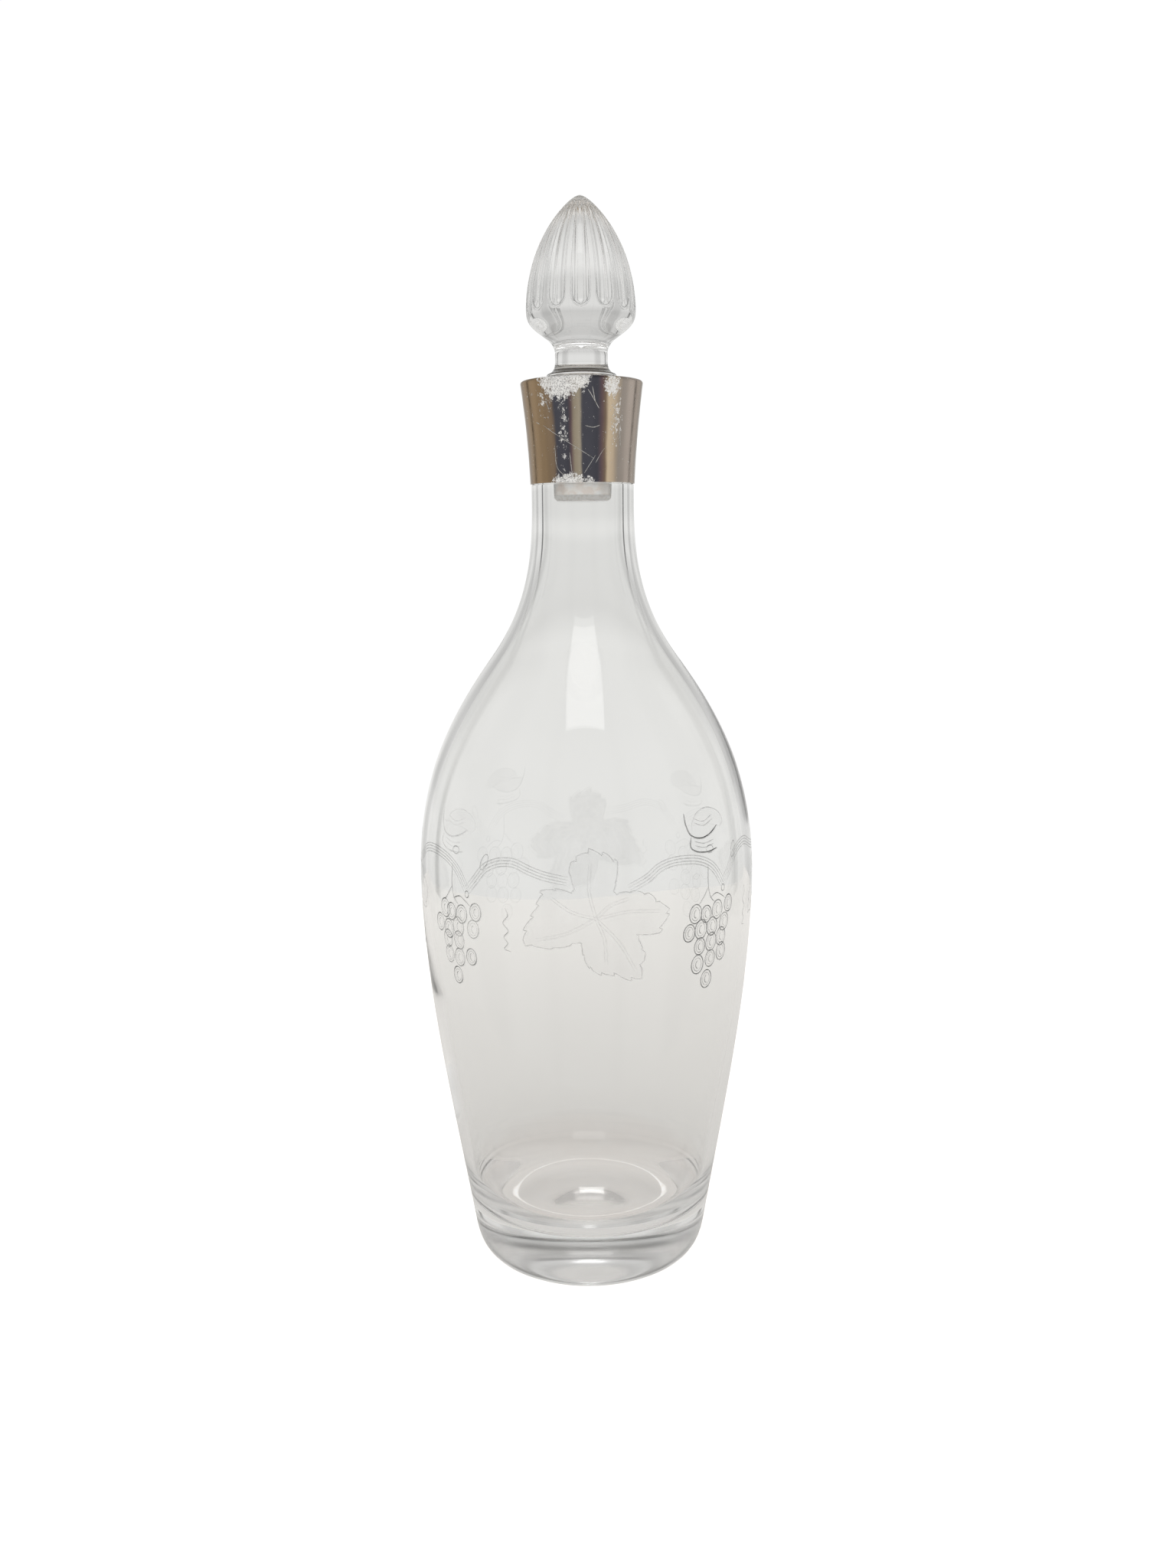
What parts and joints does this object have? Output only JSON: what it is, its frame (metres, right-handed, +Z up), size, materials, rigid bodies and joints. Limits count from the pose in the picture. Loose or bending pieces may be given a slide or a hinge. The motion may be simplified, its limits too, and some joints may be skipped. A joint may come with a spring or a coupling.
{
  "type": "carafe",
  "caption": "Clear glass carafe with a heavy base, engraved vine frieze, flared metal neck collar and a fluted ground-in glass stopper.",
  "frame": {"origin": "centre of the foot, on the surface that the carafe stands on", "axes": "+Z up along the axis of the bottle and of the stopper; -Y is the front, where one flute of the stopper and one engraved leaf face"},
  "size_m": [0.1052, 0.1052, 0.3304],
  "materials": {
    "clear_glass": "polished clear glass with frosted wheel engraving round the belly",
    "stopper_glass": "polished fluted glass, ground matt on the peg, with a faint wine stain at its foot",
    "plated_metal": "worn silver plate, tarnished brown, rubbed and flaked round the middle",
    "plaster": "set plaster, matt off-white"
  },
  "bodies": {
    "bottle": {"glass_body": "clear_glass", "neck_collar": "plated_metal", "collar_plaster": "plaster"},
    "stopper": {"stopper": "stopper_glass"}
  },
  "joints": [
    {"name": "stopper_lift", "type": "slide", "parent": "bottle", "child": "stopper", "axis": [0, 0, 1], "range_m": [0, 0.045]}
  ]
}
